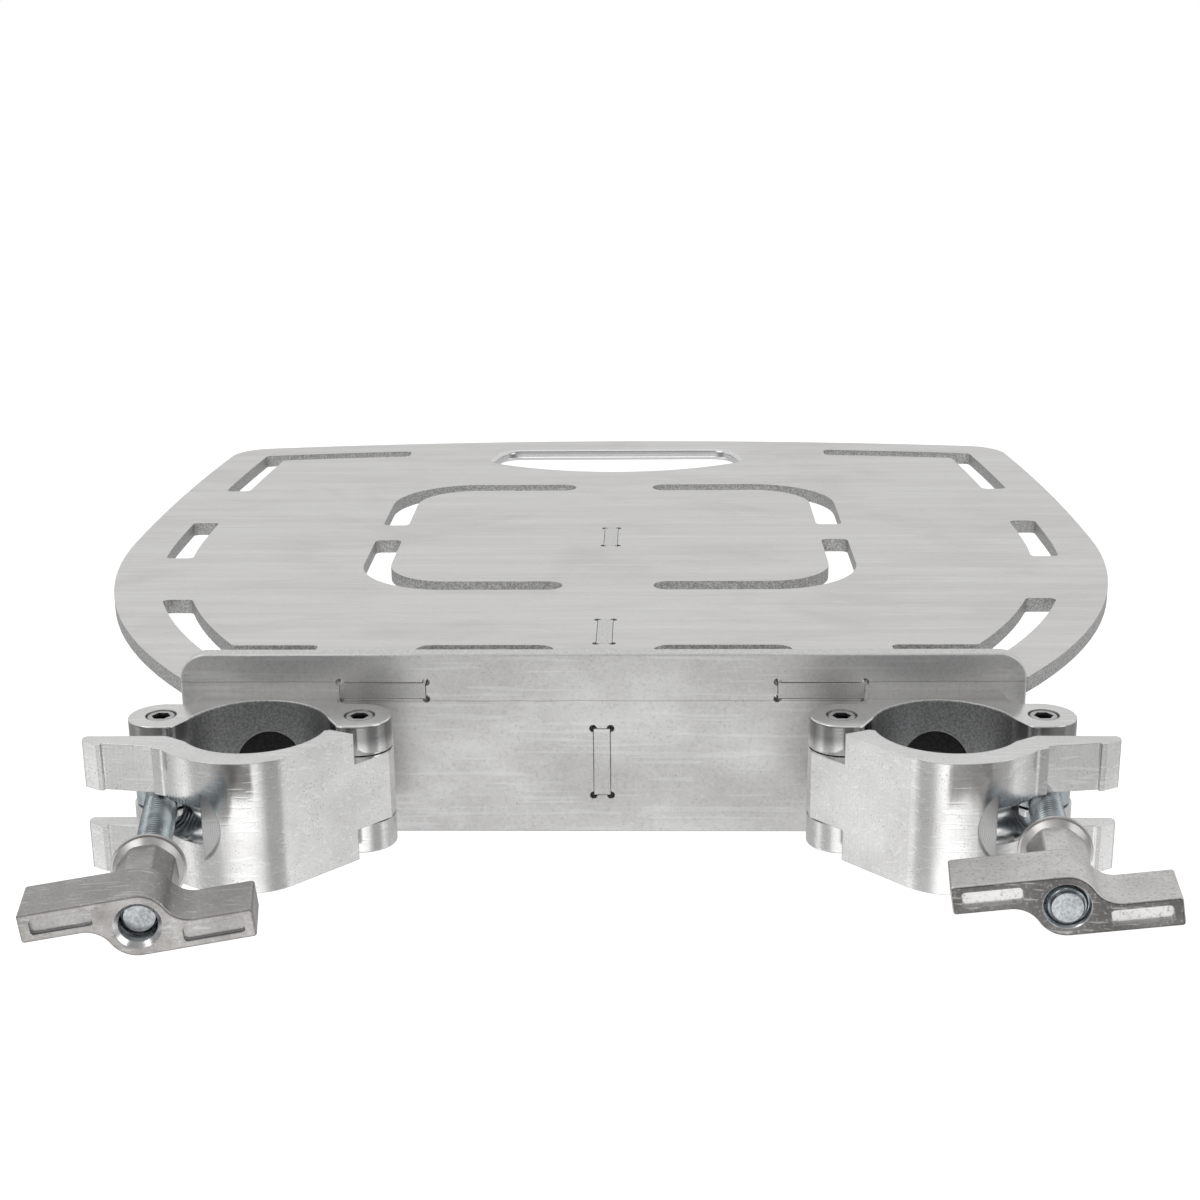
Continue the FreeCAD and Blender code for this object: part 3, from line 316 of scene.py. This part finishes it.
def plate_finish():
    """Brighter sheet: upright grain, haze, scratches, dark specks and two faint scribed lines."""
    g = Graph("bright_sheet")
    facing = g.math("ABSOLUTE", g.parts(g.facing)[1])
    haze = g.noise((20, 20, 30), 5, 0.6)
    grain = g.noise((1100, 1100, 90), 2)
    grit = g.noise((800, 800, 800), 3, 0.7)
    speck = g.span(g.cells((700, 700, 700)), 0.2, 0.07)
    speck = g.times(speck, g.span(g.noise((80, 80, 80), 3), 0.5, 0.62))
    mark = g.math("MAXIMUM", g.scratches(420, 18, 1.5), g.scratches(520, 26, 0.5))
    edge, rounded = g.edges(0.4 * MM)
    wall = g.span(facing, 0.75, 0.45)
    sand = g.noise((1300, 1300, 1300), 3, 0.7)
    face = g.mix(g.span(haze, 0.3, 0.7), grey(0.80, 0.010), grey(0.88, 0.006))
    face = g.mix(g.span(grit, 0.50, 0.72, 0.0, 0.5), face, grey(0.62, 0.012))
    face = g.mix(g.span(grit, 0.46, 0.30, 0.0, 0.5), face, grey(0.98))
    face = g.mix(g.times(speck, 0.7), face, grey(0.36, 0.02))
    face = g.mix(g.times(mark, 0.45), face, grey(0.99))
    x, _, z = g.parts(g.place)
    level = g.plus(z, g.times(g.noise((60, 60, 5), 2), 0.8 * MM))
    ends = g.span(g.math("ABSOLUTE", x), LINE_BREAK_X - MM, LINE_BREAK_X + MM)
    middle = g.math("SUBTRACT", 1.0, ends)
    for line_height, where in (LINE_ON_ENDS, ends), (LINE_IN_MIDDLE, middle):
        away = g.math("ABSOLUTE", g.math("SUBTRACT", level, line_height))
        line = g.times(g.span(away, 0.34 * MM, 0.12 * MM), where)
        face = g.mix(g.times(line, 0.5), face, grey(0.42, 0.03))
    cut = g.mix(g.span(sand, 0.35, 0.7), grey(0.70, 0.01), grey(0.93))
    colour = g.mix(wall, face, cut)
    # bright rims along edges: a painted highlight
    colour = g.mix(g.times(edge, 0.55), colour, grey(0.98))
    rough = g.span(haze, 0.3, 0.7, 0.54, 0.42)
    rough = g.blend(wall, rough, 0.46)
    height = g.plus(g.times(grain, 0.5), g.times(speck, -0.9))
    height = g.plus(height, g.times(mark, -0.6))
    height = g.plus(height, g.times(grit, 0.8))
    return g.finish(colour, rough, height, 0.35, 0.05 * MM, rounded)


def weld_finish():
    """Weld metal: close ripples along the bead, frosted, with a little soot."""
    g = Graph("weld_bead")
    x, y, z = g.parts(g.place)
    along = g.plus(g.plus(x, y), z)
    along = g.plus(along, g.times(g.noise((260, 260, 260), 2), 0.9 * MM))
    ripple = g.math("SINE", g.times(along, TURN / (1.7 * MM)))
    frost = g.noise((1700, 1700, 1700), 3, 0.7)
    soot = g.noise((90, 90, 90), 4)
    colour = g.mix(g.span(frost, 0.3, 0.7), grey(0.62, 0.01), grey(0.86))
    colour = g.mix(g.span(soot, 0.5, 0.75, 0.0, 0.5), colour, grey(0.30, 0.05))
    height = g.plus(ripple, g.times(frost, 0.8))
    rough = g.span(frost, 0.3, 0.7, 0.34, 0.52)
    return g.finish(colour, rough, height, 0.8, 0.12 * MM)


def clamp_finish(side):
    """Extruded and milled clamp half: fine speckle, scratches, milled spot face; painted shade
    darkens the bore, rings round the pins, bands beside the ears and the barrel side of the spot
    face, and bright edges are a painted highlight.
    """
    sign = SIDES[side]["sign"]
    g = Graph(side + "_clamp_alloy")
    edge, rounded = g.edges(0.45 * MM)
    flat = g.math("ABSOLUTE", g.parts(g.facing)[2])
    top = g.span(flat, 0.85, 0.97)
    haze = g.noise((34, 34, 34), 5, 0.6, 0.3)
    drawn = g.noise((1100, 1100, 60), 2)
    grit = g.noise((1250, 1250, 1250), 3, 0.7)
    speck = g.span(g.cells((900, 900, 900)), 0.24, 0.08)
    speck = g.times(speck, g.span(g.noise((120, 120, 120), 3), 0.46, 0.6))
    mark = g.math("MAXIMUM", g.scratches(520, 34, 1.1), g.scratches(640, 48, 2.6))
    colour = g.mix(g.span(haze, 0.3, 0.72), grey(0.78, 0.008), grey(0.90, 0.004))
    colour = g.mix(g.span(grit, 0.50, 0.72, 0.0, 0.34), colour, grey(0.56, 0.01))
    colour = g.mix(g.span(grit, 0.46, 0.30, 0.0, 0.34), colour, grey(0.99))
    colour = g.mix(g.times(speck, 0.7), colour, grey(0.32, 0.02))
    colour = g.mix(g.times(mark, 0.45), colour, grey(0.99))
    reach = g.from_line((sign * BORE_X, 0, 0), (0, 0, 1))
    # inside the bore: a rougher finish, and a darker colour that is painted shade
    bore = g.times(g.span(reach, BORE_R + 0.5 * MM, BORE_R + 0.25 * MM),
                   g.math("SUBTRACT", 1.0, top))
    painted_shading_colour = g.mix(g.span(grit, 0.35, 0.65), grey(0.34, 0.0), grey(0.60, -0.01))
    colour = g.mix(bore, colour, painted_shading_colour)
    # bright rims along edges: a painted highlight
    colour = g.mix(g.times(edge, 0.75), colour, grey(0.99))
    rough = g.span(haze, 0.3, 0.72, 0.25, 0.15)
    rough = g.blend(bore, rough, 0.45)
    rough = g.blend(top, rough, 0.16)
    height = g.plus(g.blend(top, drawn, grit), g.times(speck, -0.9))
    height = g.plus(height, g.times(mark, -0.6))
    for pin in ("_hinge_pin", "_bolt_pin"):
        low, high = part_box(side + pin)
        off = g.from_line((low + high) / 2, (0, 0, 1))
        # a dark ring round each pin hole on the flat faces: painted shade in the gap
        pin_gap_shade = g.times(g.span(off, PIN_HOLE_R + 0.28 * MM, PIN_HOLE_R + 0.12 * MM), top)
        colour = g.mix(g.times(pin_gap_shade, 0.85), colour, grey(0.06))
        # dark bands on the upright faces beside the ears: painted shade
        ear_shade = g.times(g.span(off, EAR_R + 0.6 * MM, EAR_R + 0.3 * MM), g.span(flat, 0.4, 0.2))
        above = g.span(g.parts(g.place)[2], EAR_FOOT, EAR_FOOT + 6 * MM)
        ear_shade = g.times(g.times(ear_shade, above), g.span(reach, BORE_R, BORE_R + MM))
        colour = g.mix(g.times(ear_shade, 0.7), colour, grey(0.14, 0.01))
    ring = g.from_line((sign * SEAT_X, 0, 0), (0, -1, 0))
    swirl = g.math("SINE", g.times(ring, TURN / (0.62 * MM)))
    seat = g.times(g.span(ring, SEAT_R + 0.4 * MM, SEAT_R + 0.1 * MM),
                   g.span(g.parts(g.facing)[1], -0.9, -0.97))
    out = g.math("ABSOLUTE", g.parts(g.place)[0])
    # the spot face is painted darker on its barrel side: painted shade
    barrel_side_shade = g.times(seat, g.span(out, SEAT_X, SEAT_X - 4 * MM))
    colour = g.mix(g.times(barrel_side_shade, 0.85), colour, grey(0.36, 0.004))
    height = g.plus(height, g.times(seat, g.times(swirl, 1.3)))
    return g.finish(colour, rough, height, 0.3, 0.05 * MM, rounded)


def pin_finish(node):
    """Turned steel pin: rings round its axis, painted shade in the socket."""
    g = Graph(node + "_steel")
    low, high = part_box(node)
    reach = g.from_line((low + high) / 2, (0, 0, 1))
    turned = g.math("SINE", g.times(reach, TURN / (0.34 * MM)))
    grit = g.noise((1600, 1600, 1600), 3, 0.65)
    # dark colour inside the socket below its top: painted shade
    deep = g.times(g.span(reach, PIN_SOCKET_R + 0.05 * MM, PIN_SOCKET_R - 0.05 * MM),
                   g.span(g.parts(g.place)[2], high.z - 0.3 * MM, high.z - 2.0 * MM))
    edge, rounded = g.edges(0.25 * MM)
    colour = g.mix(g.span(grit, 0.3, 0.7), grey(0.50, 0.0), grey(0.68, 0.01))
    # bright rims along edges: a painted highlight
    colour = g.mix(g.times(edge, 0.6), colour, grey(0.95))
    colour = g.mix(deep, colour, grey(0.10, 0.02))
    rough = g.span(grit, 0.3, 0.7, 0.26, 0.38)
    height = g.plus(g.times(turned, 0.5), g.times(grit, 0.6))
    return g.finish(colour, rough, height, 0.3, 0.04 * MM, rounded)


def thread_finish():
    """Bright zinc on a cut thread: bluish crests, painted shade in the valleys, a darker, patchy
    end face.
    """
    g = Graph("thread_zinc")
    cloud = g.noise((150, 150, 150), 4)
    crystal = g.noise((1500, 1500, 1500), 2, 0.6)
    colour = g.mix(g.span(cloud, 0.3, 0.7), (0.46, 0.52, 0.55, 1), (0.66, 0.72, 0.75, 1))
    axes = [g.from_line(*bolt_line(side)) for side in SIDES]
    reach = g.math("MINIMUM", axes[0], axes[1])
    valley = g.span(reach, BOLT_R - 0.25 * MM, BOLT_R - 0.8 * THREAD_DEPTH)
    past_eye = g.span(g.parts(g.place)[1], -2 * MM, -4 * MM)
    off_axis = g.span(reach, BOLT_R - 1.3 * THREAD_DEPTH, BOLT_R - 1.1 * THREAD_DEPTH)
    valley = g.times(g.times(valley, off_axis), past_eye)
    # dark colour in the thread's valleys: painted shade
    colour = g.mix(g.times(valley, 0.8), colour, (0.07, 0.08, 0.09, 1))
    # the end face is darker and patchy
    tip = g.span(g.parts(g.facing)[1], -0.90, -0.96)
    end_mottle = g.noise((900, 120, 900), 3, 0.7)
    cut = g.mix(g.span(end_mottle, 0.3, 0.7), (0.34, 0.36, 0.37, 1), (0.60, 0.63, 0.64, 1))
    colour = g.mix(tip, colour, cut)
    rough = g.span(cloud, 0.3, 0.7, 0.22, 0.34)
    return g.finish(colour, rough, crystal, 0.25, 0.03 * MM)


def zinc_finish(name, pale, deep, low, high):
    """Bright zinc plate: clouded, with fine crystals."""
    g = Graph(name)
    cloud = g.noise((150, 150, 150), 4)
    crystal = g.noise((1800, 1800, 1800), 2, 0.6)
    edge, rounded = g.edges(0.3 * MM)
    colour = g.mix(g.span(cloud, 0.3, 0.7), deep, pale)
    # bright rims along edges: a painted highlight
    colour = g.mix(g.times(edge, 0.5), colour, grey(0.97))
    colour = g.mix(g.span(crystal, 0.62, 0.74, 0.0, 0.35), colour, grey(0.45))
    rough = g.span(cloud, 0.3, 0.7, low, high)
    return g.finish(colour, rough, crystal, 0.3, 0.04 * MM, rounded)


def nut_finish(side):
    """Satin die-cast wing nut: warm silver, with light and shade painted in for each side: a
    lighter or darker front by side, paler windows, bright rims as a painted highlight, and a
    bright bore mouth.
    """
    g = Graph(side + "_nut_alloy")
    edge, rounded = g.edges(0.5 * MM)
    haze = g.noise((70, 70, 70), 5, 0.6)
    grain = g.noise((950, 950, 950), 3, 0.7)
    pit = g.span(g.cells((520, 520, 520)), 0.2, 0.06)
    pit = g.times(pit, g.span(g.noise((140, 140, 140), 2), 0.52, 0.64))
    mark = g.scratches(900, 60, 0.3)
    setting = SIDES[side]
    pivot, ahead = bolt_line(side)
    along = g.vector("DOT_PRODUCT", g.vector("SUBTRACT", g.place, tuple(pivot)), tuple(ahead))
    depth = g.math("SUBTRACT", setting["nut_face"], along)
    front = g.span(g.vector("DOT_PRODUCT", g.facing, tuple(ahead)), 0.80, 0.93)
    reach = g.from_line(pivot, ahead)
    window = g.times(front, g.span(depth, 0.6 * MM, 1.2 * MM))
    window = g.times(window, g.span(reach, WINDOW_FROM_R - 0.5 * MM, WINDOW_FROM_R + 0.5 * MM))
    front = g.math("SUBTRACT", front, window, clamp=True)
    mouth = g.span(reach, NUT_MOUTH_R + 0.15 * MM, NUT_MOUTH_R - 0.15 * MM)
    # the body, front and window tones differ by side: painted light and shade
    body, dark = setting["nut_body_painted_light"], setting["nut_front_painted_light"]
    colour = g.mix(g.span(haze, 0.3, 0.7), grey(body, 0.022), grey(body * 1.2, 0.014))
    painted_shading_colour = g.mix(g.span(haze, 0.3, 0.7), grey(dark, 0.04), grey(dark * 1.35, 0.03))
    # the front faces are painted lighter than the body on the left and much darker on the right:
    # painted light and shade
    colour = g.mix(front, colour, painted_shading_colour)
    # the windows are painted paler than the body: a painted highlight
    colour = g.mix(window, colour, grey(setting["window"], 0.01))
    # the dark grain takes its tone from the painted front shade
    colour = g.mix(g.span(grain, 0.50, 0.72, 0.0, 0.5), colour, grey(dark * 0.7, 0.03))
    colour = g.mix(g.span(grain, 0.44, 0.30, 0.0, 0.3), colour, grey(0.9, 0.01))
    # bright rims along edges are a painted highlight; the bore mouth is brightened too
    colour = g.mix(g.math("MAXIMUM", g.times(edge, 0.75), mouth), colour, grey(0.97))
    colour = g.mix(g.times(mark, 0.3), colour, grey(0.95))
    rough = g.span(haze, 0.3, 0.7, 0.40, 0.30)
    rough = g.blend(g.math("MAXIMUM", edge, mouth), rough, 0.2)
    height = g.math("SUBTRACT", grain, g.times(pit, 1.2))
    return g.finish(colour, rough, height, 0.35, 0.05 * MM, rounded)


def black_finish():
    """Black oxide: near-black, slightly glossy, paler where it is rubbed."""
    g = Graph("black_oxide", metallic=0.6)
    edge, rounded = g.edges(0.3 * MM)
    grit = g.noise((1500, 1500, 1500), 3, 0.7)
    rub = g.noise((300, 300, 300), 3)
    colour = g.mix(g.span(grit, 0.3, 0.7), grey(0.012), grey(0.04))
    worn = g.times(edge, g.span(rub, 0.4, 0.6, 0.1, 0.7))
    colour = g.mix(worn, colour, grey(0.32))
    rough = g.span(grit, 0.3, 0.7, 0.3, 0.45)
    return g.finish(colour, rough, grit, 0.4, 0.05 * MM, rounded)


def nylon_finish():
    """Moulded nylon: slightly blue, waxy, with soft mottling."""
    g = Graph("nylon_moulding", metallic=0.0)
    g.shader.inputs["Subsurface Weight"].default_value = 0.2
    g.shader.inputs["Subsurface Scale"].default_value = 0.0008
    mottle = g.noise((400, 400, 400), 4)
    colour = g.mix(g.span(mottle, 0.3, 0.7), (0.10, 0.22, 0.42, 1), (0.16, 0.30, 0.52, 1))
    rough = g.span(mottle, 0.3, 0.7, 0.38, 0.5)
    return g.finish(colour, rough, mottle, 0.2, 0.08 * MM)


def wear(node, material):
    """Puts the finish on the CAD node."""
    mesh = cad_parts[node].data
    mesh.materials.clear()
    mesh.materials.append(material)


# --- swing bolts ---------------------------------------------------------------------------
def bolt_line(side):
    """The swing bolt's pivot and the direction that it points in."""
    setting = SIDES[side]
    low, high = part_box(side + "_bolt_pin")
    lean = math.radians(setting["lean"])
    ahead = Vector((-setting["sign"] * math.sin(lean), -math.cos(lean), 0.0))
    return (low + high) / 2, ahead


def lathe(rings, count, place):
    """Skin over rings of (along, radius or function of the turn), closed at both ends."""
    points, faces = [], []
    for along, radius in rings:
        for i in range(count):
            turn = TURN * i / count
            r = radius(turn) if callable(radius) else radius
            points.append(place(along, r * math.cos(turn), r * math.sin(turn)))
    for j in range(len(rings) - 1):
        for i in range(count):
            k = (i + 1) % count
            faces.append((j * count + i, j * count + k, (j + 1) * count + k, (j + 1) * count + i))
    last = (len(rings) - 1) * count
    faces.append(tuple(reversed(range(count))))
    faces.append(tuple(last + i for i in range(count)))
    return points, faces


def thread_radius(along, start, end):
    """Radius of the thread at a place along the bolt, with a runout and a chamfered tip."""
    runout = min(1.0, max(0.0, (along - start) / (2 * THREAD_PITCH)))
    tip = min(1.0, max(0.0, (end - along) / BOLT_CHAMFER))
    crest = BOLT_R - BOLT_CHAMFER * (1 - tip)

    def radius(turn):
        phase = (along / THREAD_PITCH - turn / TURN) % 1.0
        valley = 1 - abs(2 * phase - 1)
        valley = min(1.0, max(0.0, valley * FLANK_SLOPE - CREST_FLAT))
        return min(crest, BOLT_R - THREAD_DEPTH * valley * runout)
    return radius


def eye_skin(pivot, half_height):
    """The eye: a ring round the pin with bevelled rims."""
    profile = [(EYE_BORE_R, -half_height + EYE_BEVEL), (EYE_BORE_R + EYE_BEVEL, -half_height),
               (EYE_R - EYE_BEVEL, -half_height), (EYE_R, -half_height + EYE_BEVEL),
               (EYE_R, half_height - EYE_BEVEL), (EYE_R - EYE_BEVEL, half_height),
               (EYE_BORE_R + EYE_BEVEL, half_height), (EYE_BORE_R, half_height - EYE_BEVEL)]
    points, faces = [], []
    for i in range(EYE_FACETS):
        turn = TURN * i / EYE_FACETS
        for r, z in profile:
            points.append(pivot + Vector((r * math.cos(turn), r * math.sin(turn), z)))
    size = len(profile)
    for i in range(EYE_FACETS):
        k = (i + 1) % EYE_FACETS
        for j in range(size):
            m = (j + 1) % size
            faces.append((i * size + j, k * size + j, k * size + m, i * size + m))
    return points, faces


def add_piece(name, skins, material):
    """One object made of several skins."""
    points, faces = [], []
    for some_points, some_faces in skins:
        base = len(points)
        points += some_points
        faces += [tuple(base + i for i in face) for face in some_faces]
    mesh = bpy.data.meshes.new(name)
    mesh.from_pydata([tuple(p) for p in points], [], faces)
    mesh.validate()
    mesh.materials.append(material)
    piece = bpy.data.objects.new(name, mesh)
    bpy.context.scene.collection.objects.link(piece)
    return piece


def swing_bolt(side, material):
    """Eye bolt with a cut thread, in the place of the plain CAD bolt."""
    pivot, ahead = bolt_line(side)
    length = SIDES[side]["bolt"]
    across = Vector((-ahead.y, ahead.x, 0.0))

    def place(along, a, b):
        return pivot + along * ahead + a * across + b * Vector((0, 0, 1))

    neck_end = NECK_START + NECK_L
    rings = [(NECK_FOOT, NECK_R), (NECK_START, NECK_R), (neck_end, BOLT_R)]
    start, step = neck_end + 0.5 * MM, THREAD_PITCH / RINGS_A_PITCH
    for i in range(int((length - start) / step)):
        along = start + i * step
        rings.append((along, thread_radius(along, start, length)))
    rings.append((length, thread_radius(length, start, length)))
    eye_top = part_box(side + "_swing_bolt")[1].z
    skins = [eye_skin(pivot, eye_top), lathe(rings, THREAD_FACETS, place)]
    piece = add_piece(side + "_threaded_bolt", skins, material)
    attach(piece, side + "_bolt")
    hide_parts(side + "_swing_bolt")


# --- studio --------------------------------------------------------------------------------
def add_light(name, at, size, power, aim):
    data = bpy.data.lights.new(name, "AREA")
    data.shape = "RECTANGLE"
    data.size, data.size_y = size
    data.energy = power
    lamp = bpy.data.objects.new(name, data)
    lamp.location = at
    lamp.rotation_euler = (Vector(aim) - Vector(at)).to_track_quat("-Z", "Y").to_euler()
    lamp.visible_camera = False
    bpy.context.scene.collection.objects.link(lamp)


def add_floor():
    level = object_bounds()[0].z - FLOOR_DROP
    corners = [(-FLOOR_HALF, -FLOOR_HALF, level), (FLOOR_HALF, -FLOOR_HALF, level),
               (FLOOR_HALF, FLOOR_HALF, level), (-FLOOR_HALF, FLOOR_HALF, level)]
    mesh = bpy.data.meshes.new("floor")
    mesh.from_pydata(corners, [], [(0, 1, 2, 3)])
    g = Graph("pale_floor", metallic=0.0)
    g.shader.inputs["Base Color"].default_value = (0.93, 0.93, 0.93, 1)
    g.shader.inputs["Roughness"].default_value = 1.0
    g.shader.inputs["Emission Color"].default_value = (1, 1, 1, 1)
    g.shader.inputs["Emission Strength"].default_value = FLOOR_GLOW
    mesh.materials.append(g.material)
    floor = bpy.data.objects.new("floor", mesh)
    floor.visible_glossy = False       # the metal reflects the room instead
    bpy.context.scene.collection.objects.link(floor)


def add_world():
    """A soft room, brightest low in front of the part; the camera itself sees plain white."""
    world = bpy.data.worlds.new("world")
    world.use_nodes = True
    tree = world.node_tree

    def node(kind, **settings):
        made = tree.nodes.new(kind)
        for key, value in settings.items():
            setattr(made, key, value)
        return made

    def levels(stops, position):
        ramp = node("ShaderNodeValToRGB")
        ramp.color_ramp.interpolation = "EASE"
        points = ramp.color_ramp.elements
        while len(points) < len(stops):
            points.new(1.0)
        for point, (where, value) in zip(points, stops):
            point.position, point.color = where, (value, value, value, 1)
        tree.links.new(position, ramp.inputs["Fac"])
        return ramp.outputs["Color"]

    def span(source, numbers, smooth=True):
        made = node("ShaderNodeMapRange",
                    interpolation_type="SMOOTHSTEP" if smooth else "LINEAR")
        for key, number in zip(("From Min", "From Max", "To Min", "To Max"), numbers):
            made.inputs[key].default_value = number
        tree.links.new(source, made.inputs["Value"])
        return made.outputs["Result"]

    coord = node("ShaderNodeTexCoord")
    split = node("ShaderNodeSeparateXYZ")
    tree.links.new(coord.outputs["Generated"], split.inputs[0])
    height = span(split.outputs["Z"], (-1.0, 1.0, 0.0, 1.0), smooth=False)
    front = span(split.outputs["Y"], (0.25, -0.45, 0.0, 1.0))
    turned = span(split.outputs["Y"], (-1.0, 0.0, 0.0, 1.0), smooth=False)
    shade = span(split.outputs["X"], (-0.2, 0.6, 1.0, 1.0 - ROOM_RIGHT_SHADE))
    swept = node("ShaderNodeVectorMath", operation="MULTIPLY")
    tree.links.new(levels(ROOM_FRONT, height), swept.inputs[0])
    tree.links.new(levels(ROOM_SWEEP, turned), swept.inputs[1])
    shaded = node("ShaderNodeVectorMath", operation="SCALE")
    tree.links.new(swept.outputs[0], shaded.inputs[0])
    tree.links.new(shade, shaded.inputs["Scale"])
    mix = node("ShaderNodeMix", data_type="RGBA")
    tree.links.new(front, mix.inputs["Factor"])
    tree.links.new(levels(ROOM_BACK, height), mix.inputs["A"])
    tree.links.new(shaded.outputs[0], mix.inputs["B"])
    seen = node("ShaderNodeMix", data_type="RGBA")
    seen.inputs["B"].default_value = (1, 1, 1, 1)
    tree.links.new(node("ShaderNodeLightPath").outputs["Is Camera Ray"], seen.inputs["Factor"])
    tree.links.new(mix.outputs["Result"], seen.inputs["A"])
    tree.links.new(seen.outputs["Result"], tree.nodes["Background"].inputs["Color"])
    bpy.context.scene.world = world


# --- scene -----------------------------------------------------------------------------------
add_camera()
plate, welds, black = plate_finish(), weld_finish(), black_finish()
zinc = thread_finish()
washer = zinc_finish("washer_zinc", grey(0.78, 0.015), grey(0.62, 0.02), 0.30, 0.42)
fixing = zinc_finish("fixing_zinc", grey(0.76, 0.0), grey(0.60, 0.01), 0.28, 0.4)
nylon = nylon_finish()
wear("shelf_plate", shelf_finish())
for node in ("front_plate", "centre_rib"):
    wear(node, plate)
for node in ("shelf_weld_beads", "rib_weld_beads"):
    wear(node, welds)
for side in SIDES:
    alloy = clamp_finish(side)
    wear(side + "_clamp_saddle", alloy)
    wear(side + "_clamp_jaw", alloy)
    wear(side + "_hinge_pin", pin_finish(side + "_hinge_pin"))
    wear(side + "_bolt_pin", pin_finish(side + "_bolt_pin"))
    wear(side + "_swing_bolt", zinc)
    wear(side + "_domed_washer", washer)
    wear(side + "_wing_nut", nut_finish(side))
    wear(side + "_mounting_screw", black)
    wear(side + "_mounting_washer", fixing)
    wear(side + "_mounting_nut", fixing)
    wear(side + "_nut_lock_ring", nylon)
    swing_bolt(side, zinc)

add_floor()
add_world()
bpy.context.scene.view_settings.view_transform = "Standard"
for lamp in LAMPS:
    add_light(*lamp)
